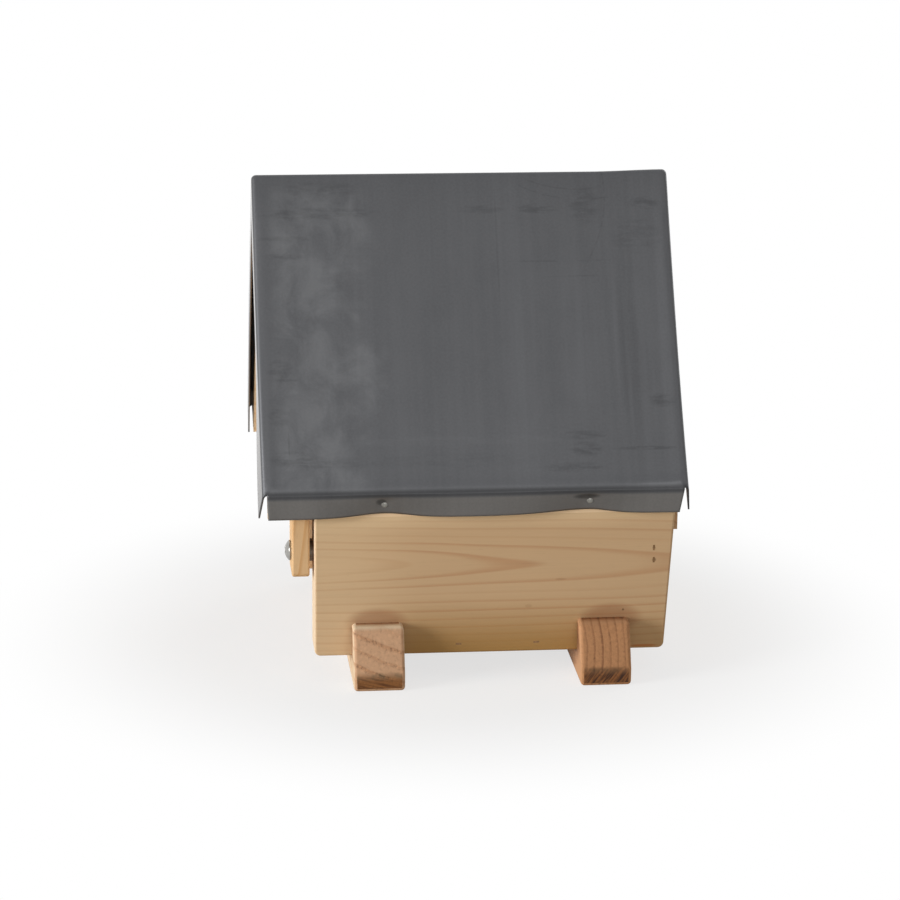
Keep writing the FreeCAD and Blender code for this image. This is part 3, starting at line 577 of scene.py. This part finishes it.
def weathered_zinc():
    """Dull zinc, in the flat sheet's own measures: along the house, and down from the ridge on either side.

    Slow noise makes pale smudges, most of them towards the front, and noise drawn out down the slope makes
    run marks. A rub is a soft ellipse, broken up by ragged noise, or by streaks if it is long down the slope;
    an arc is a thin scratch at a radius from a point. Both are on the near slope, apart from the darker
    patches at the nails. The ridge is a little darker, and the eave and rear folds are painted darker still,
    as painted shade. The eave and front flanges are painted paler, as painted light, and the front ones
    smoother too, where hands have rubbed them.
    """
    material, shader, place = new_finish("weathered_zinc")
    eave, verge = SLOPE_LENGTH / 1000, HALF_LENGTH / 1000
    flat = place.made("ShaderNodeUVMap", {"uv_map": "flat"}, {})
    along, up, _ = flat.parts()
    down = up.size()
    near_slope = up.rise(0.002, -0.002)
    cloud = flat.noise((54, 40, 0), (4.2, 1.7, 0), 8.0, Roughness=0.6, Distortion=0.5)
    front = (along - (flat.noise((14, 30, 0), (8.1, 3.3, 0), 4.0) - 0.5) * 0.12).rise(-0.036, -0.056)
    on_panel = along.rise(-0.1000, -0.0880) * down.rise(0.006, 0.016) * (0.3 + down.rise(0.168, 0.160) * 0.7)
    smudge = cloud.rise(0.34, 0.64) * (0.12 + front * 0.88) * on_panel
    run = flat.noise((260, 5, 0), (0.3, 2.9, 0), 2.0) - 0.5
    wide_run = flat.noise((48, 2, 0), (7.3, 0.4, 0), 1.0) - 0.5
    drift = flat.noise((9, 12, 0), (3.1, 6.4, 0), 2.0) - 0.5
    ragged = flat.noise((90, 380, 0), (2.6, 5.1, 0), 5.0, Roughness=0.6).rise(0.34, 0.64)
    streaked = flat.noise((300, 14, 0), (6.2, 1.4, 0), 3.0).rise(0.20, 0.60)
    speck = flat.noise((800, 800, 0), (0, 3, 0), 3.0) - 0.5
    tone = 0.96 + smudge * 0.38 + run * 0.18 + wide_run * 0.13 + drift * 0.12 + speck * 0.26
    tone = tone - down.rise(0.040, 0.006) * 0.07
    for middle, length, level, height, darker in RUBS:
        inside = ellipse(along, down, middle, length, level, height).rise(1.0, 0.1)
        broken = (streaked if height > 3 * length else ragged) * near_slope
        by_nail = level > eave
        tone = tone - inside * darker * (1.0 if by_nail else broken)
    scratch = 0.0
    for middle, level, radius, start, end in ARCS:
        apart = ((along - middle) ** 2.0 + (down - level) ** 2.0) ** 0.5 - radius
        between = along.rise(start, start + 0.006) * along.rise(end, end - 0.006)
        scratch = scratch + apart.size().rise(0.0007, 0.0001) * between * ragged * near_slope
    # Painted shade: the sheet is painted darker along the eave fold.
    eave_fold_shade = (down - eave).size().rise(0.0030, 0.0008)
    # Painted shade: the rear verge fold, turned away from the light, is painted darker.
    rear_fold_shade = along.rise(verge - 0.0020, verge - 0.0006)
    tone = (tone - scratch * 0.11) * (1 - eave_fold_shade * 0.56) * (1 - rear_fold_shade * 0.35)
    tint = (smudge * 0.8).over(paint("5a5b5e"), paint("5b5c5e"))
    # Painted light: below the eave fold the sheet is painted paler and warmer.
    tint = down.rise(eave + 0.001, eave + 0.003).over(tint, paint("62605e"))
    # Painted light: the front verge flanges are painted paler, in place of the white that they reflect at a
    # slant.
    front_flange = along.rise(-verge - 0.0002, -verge - 0.0014)
    tint = front_flange.over(tint, paint("7d7b7b"))
    tone.shades(tint).feeds(shader, "Base Color")
    shader.inputs["Metallic"].default_value = 0.55
    (0.42 + smudge * 0.08 + speck * 0.1 - front_flange * 0.27).feeds(shader, "Roughness")
    relief = run * 0.2 + speck * 0.5 - scratch * 0.6
    relief.tilts(shader, 0.12, 0.0002)
    return material


mesh.materials.append(weathered_zinc())
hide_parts("roof_sheet")
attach(roof_sheet, "house")


# Roof nails
# Two small galvanised nails through each eave flange, driven home into the edges of the roof boards.
# Their low domed heads lie in the dimples that they have drawn into the sheet.
NAIL_LENGTH = 18.0
NAIL_SHANK = 0.8
NAIL_HEAD = 1.6
NAIL_RIM = 0.1
NAIL_CROWN = 0.6


def lathe(profile, steps):
    """Points of a profile of radius and height turned about its own axis, row by row, and the quads between.

    The angle runs round once, and its last column joins the first. A radius of 0 at either end is its pole.
    """
    angle = np.arange(steps) * 2 * math.pi / steps
    radius, height = profile[:, :1], profile[:, 1:]
    round_points = np.stack([radius * np.cos(angle), radius * np.sin(angle), height + 0 * angle], 2)
    ring = np.arange(len(profile) * steps).reshape(len(profile), steps)
    onward = np.roll(ring, -1, axis=1)
    faces = np.stack([ring[:-1], onward[:-1], onward[1:], ring[1:]], 2).reshape(-1, 4)
    return round_points, faces


def turned_piece(name, points, faces, finish):
    """Object from turned points, its poles welded shut."""
    mesh = bpy.data.meshes.new(name)
    mesh.from_pydata(points.reshape(-1, 3).tolist(), [], faces.tolist())
    mesh.polygons.foreach_set("use_smooth", np.ones(len(faces), bool))
    mesh.materials.append(finish)
    piece = add_object(name, mesh)
    piece.modifiers.new("poles", "WELD").merge_threshold = 0.000002
    return piece


crown = np.linspace(0, math.pi / 2, 8)
nail_shank = [(0, -NAIL_LENGTH), (NAIL_SHANK, -NAIL_LENGTH), (NAIL_SHANK, 0), (NAIL_HEAD, 0)]
nail_head = np.stack([NAIL_HEAD * np.cos(crown), NAIL_RIM + NAIL_CROWN * np.sin(crown)], 1)
nail_points, nail_faces = lathe(np.concatenate([nail_shank, nail_head]) / 1000, 28)
seat = np.array([NAIL_DROP * math.sin(NAIL_PULL) + DIMPLE - HALF_DEPTH,
                 EAVE - NAIL_DROP * math.cos(NAIL_PULL)]) / 1000
near_nails = [np.stack([nail_points[..., 0] + nail / 1000, seat[0] - nail_points[..., 2],
                        seat[1] + nail_points[..., 1]], 2) for nail in NAILS]
far_nails = [nail[:, ::-1] * (1, -1, 1) for nail in near_nails]
nail_shift = (np.arange(4) * nail_points[..., 0].size)[:, None, None]
nail_steel = plated("nail_steel", "85847f", "5c5852", 0.22)
roof_nails = turned_piece("driven_roof_nails", np.stack(near_nails + far_nails),
                          (nail_faces + nail_shift).reshape(-1, 4), nail_steel)
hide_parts("roof_nails")
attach(roof_nails, "house")


# Turn-buttons
# Strips of pine with a rounded top, one on the front end of each wall, that turn on a screw to close the bay.
# They are sawn out with the grain up their length and sanded round the arrises.
BUTTON_TOP = 0.010
BUTTON_FOOT = 0.003
BUTTON_ROUNDING = 0.0011


def button_outline(low, high, upper, lower):
    """Rectangle between two points whose upper corners have one radius and whose lower ones have another.

    A quarter circle, turned on by a quarter from each corner to the next, goes round it.
    """
    turn = np.linspace(0, math.pi / 2, 13)
    quarter = np.stack([np.cos(turn), np.sin(turn)], 1)
    corners = []
    for start, radius, middle in ((0, upper, (high[0] - upper, high[1] - upper)),
                                  (1, upper, (low[0] + upper, high[1] - upper)),
                                  (2, lower, (low[0] + lower, low[1] + lower)),
                                  (3, lower, (high[0] - lower, low[1] + lower))):
        cosine, sine = math.cos(start * math.pi / 2), math.sin(start * math.pi / 2)
        corners.append(quarter @ np.array([[cosine, sine], [-sine, cosine]]) * radius + middle)
    return np.concatenate(corners)


for side, pith_y in (("near", -0.040), ("far", 0.095)):
    node = side + "_turn_button"
    low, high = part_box(node)
    shape = button_outline((low.y, low.z), (high.y, high.z), BUTTON_TOP, BUTTON_FOOT)
    button = rubbed(extrusion(node + "_sanded", shape, low.x, high.x), np.zeros(len(shape)), BUTTON_ROUNDING)
    button.data.materials.append(pine(side + "_button_pine", "zyx", (0.06, pith_y, -0.06), (0.06, 0.03),
                                      0.0032, "dcb88c", "cd9f6c"))
    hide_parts(node)
    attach(button, side + "_button")


# Pivot washers and screws
# A dull plated washer stands each turn-button off its wall, and a dome-headed cross-recess screw pins it.
# The screw heads are polished, and pick up the light around them.
washer_steel = plated("washer_steel", "8d8478", "6b5c4a", 0.45)
dress("near_pivot_washer", washer_steel)
dress("far_pivot_washer", washer_steel)


def polished_steel():
    """Polished steel: hairlines in rings about the screw's axis, and a slightly duller film in patches."""
    material, shader, place = new_finish("polished_steel")
    film = place.noise((420, 420, 420), (3, 1, 6), 2.0)
    hairline = place.noise((2600, 900, 900), (8, 2, 5), 2.0)
    film.over(paint("8f8d88"), paint("c4c2bd")).feeds(shader, "Base Color")
    shader.inputs["Metallic"].default_value = 1.0
    (0.1 + film * 0.1 + hairline * 0.06).feeds(shader, "Roughness")
    hairline.tilts(shader, 0.05, 0.00005)
    return material


dome_finish = polished_steel()
DOME_RADIUS = 0.005
DOME_RIM = 0.0008
DOME_HEIGHT = 0.003
DOME_CHAMFER = 0.0002
SHANK_RADIUS = 0.002
RECESS_HALF_WIDTH = 0.00075
RECESS_REACH = 0.0026
RECESS_DEPTH = 0.0016
for side in ("near", "far"):
    node = side + "_pivot_screw"
    low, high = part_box(node)
    seat_x = low.x + DOME_HEIGHT
    dome_rise = DOME_HEIGHT - DOME_RIM
    sphere = (DOME_RADIUS ** 2 + dome_rise ** 2) / (2 * dome_rise)
    out = np.linspace(0, DOME_RADIUS, 46)[1:][::-1]
    dome = np.stack([out, DOME_HEIGHT - sphere + np.sqrt(sphere ** 2 - out ** 2)], 1)
    profile = np.concatenate([[(0, seat_x - high.x), (SHANK_RADIUS, seat_x - high.x), (SHANK_RADIUS, 0),
                               (DOME_RADIUS - DOME_CHAMFER, 0), (DOME_RADIUS, DOME_CHAMFER)],
                              dome, [(0, DOME_HEIGHT)]])
    screw_points, screw_faces = lathe(profile, 120)
    wide = np.abs(screw_points[..., :2])
    arm = wide.max(2) / RECESS_REACH
    narrow = wide.min(2) / RECESS_HALF_WIDTH
    sunk = (1 - smooth(narrow, 0.8, 1.15)) * (1 - smooth(arm, 0.55, 1.0)) * (screw_points[..., 2] > DOME_RIM)
    screw_points[..., 2] -= RECESS_DEPTH * sunk
    middle = ((low.y + high.y) / 2, (low.z + high.z) / 2)
    placed = np.stack([seat_x - screw_points[..., 2], middle[0] + screw_points[..., 1],
                       middle[1] + screw_points[..., 0]], 2)
    screw = turned_piece(node + "_polished", placed, screw_faces, dome_finish)
    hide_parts(node)
    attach(screw, "house")


# Rear lath
# A thin strip of rough-sawn pine across the rear ends of the walls, under the roof's overhang.
# It ties the walls together, and a brad at each end holds it.
dress("rear_lath", pine("lath_pine", "yzx", (0.0, 0.03, 0.06), (0.03, 0.02), 0.0030, "c3a07c", "96704a"))


# Floor, light and camera
# The studio: a white sweep, a soft lamp on the left, weaker ones in front and behind, and even room light.
# The sweep looks white, also in reflections, keeps a soft shadow by the feet, and gives back less light.
SWEEP = 9
WHITE = (1, 1, 1, 1)
LAMP_AIM = np.array([0, 0, 0.1])

sweep = bpy.data.meshes.new("studio_floor")
sweep.from_pydata([(-SWEEP, -SWEEP, 0), (SWEEP, -SWEEP, 0), (SWEEP, SWEEP, 0), (-SWEEP, SWEEP, 0)], [],
                  [(0, 1, 2, 3)])
floor = add_object("studio_floor", sweep)
material, shader, place = new_finish("studio_paper")
seen = Wire(material.node_tree.nodes.new("ShaderNodeLightPath").outputs["Is Camera Ray"])
shown = seen + seen.beside("Is Glossy Ray") + seen.beside("Is Transmission Ray")
shown = shown.math("MINIMUM", shown, 1.0)
shown.over(paint("c4b08c"), paint("fbfbfa")).feeds(shader, "Base Color")
shader.inputs["Roughness"].default_value = 0.9
shader.inputs["Specular IOR Level"].default_value = 0.0
glow = shown.made("ShaderNodeEmission", {}, {"Color": WHITE, "Strength": 1.0})
away = place.made("ShaderNodeVectorMath", {"operation": "LENGTH"}, {0: place}, "Value")
blank = shown * (0.7 + away.rise(0.12, 0.25) * 0.3)
paper = blank.made("ShaderNodeMixShader", {}, {0: blank, 1: Wire(shader.outputs[0]), 2: glow})
paper.feeds(material.node_tree.nodes["Material Output"], "Surface")
sweep.materials.append(material)

world = bpy.data.worlds.new("room_light")
bpy.context.scene.world = world
world.use_nodes = True
nodes = world.node_tree.nodes
room = nodes["Background"]
room.inputs["Color"].default_value = WHITE
room.inputs["Strength"].default_value = 0.30
backdrop = nodes.new("ShaderNodeBackground")
backdrop.inputs["Color"].default_value = WHITE
path = Wire(nodes.new("ShaderNodeLightPath").outputs["Is Camera Ray"])
white = path + path.beside("Is Glossy Ray") + path.beside("Is Transmission Ray")
mixed = path.made("ShaderNodeMixShader", {}, {0: white.math("MINIMUM", white, 1.0), 1: Wire(room.outputs[0]),
                                              2: Wire(backdrop.outputs[0])})
mixed.feeds(nodes["World Output"], "Surface")

for name, spot, size, watts in (("key_lamp", (-1.52, -0.62, 0.32), 0.6, 23.0),
                                ("fill_lamp", (0.4, -2.3, 0.55), 1.0, 8.0),
                                ("back_lamp", (1.7, 1.5, 0.8), 1.4, 16.0)):
    lamp = bpy.data.lights.new(name, "AREA")
    lamp.size = size
    lamp.energy = watts
    stand = add_object(name, lamp)
    stand.location = spot
    reach = LAMP_AIM - spot
    stand.rotation_euler = (math.atan2(math.hypot(reach[0], reach[1]), -reach[2]), 0,
                            math.atan2(reach[1], reach[0]) - math.pi / 2)

camera = add_object("camera", bpy.data.cameras.new("camera"))
camera.location = (-0.169892, -1.593023, 0.551998)
camera.rotation_euler = np.radians((74.0523, -0.5251, -5.804))
camera.data.lens = 131.165
camera.data.sensor_width = 36
camera.data.clip_end = 50
bpy.context.scene.camera = camera
bpy.context.scene.view_settings.view_transform = "Standard"
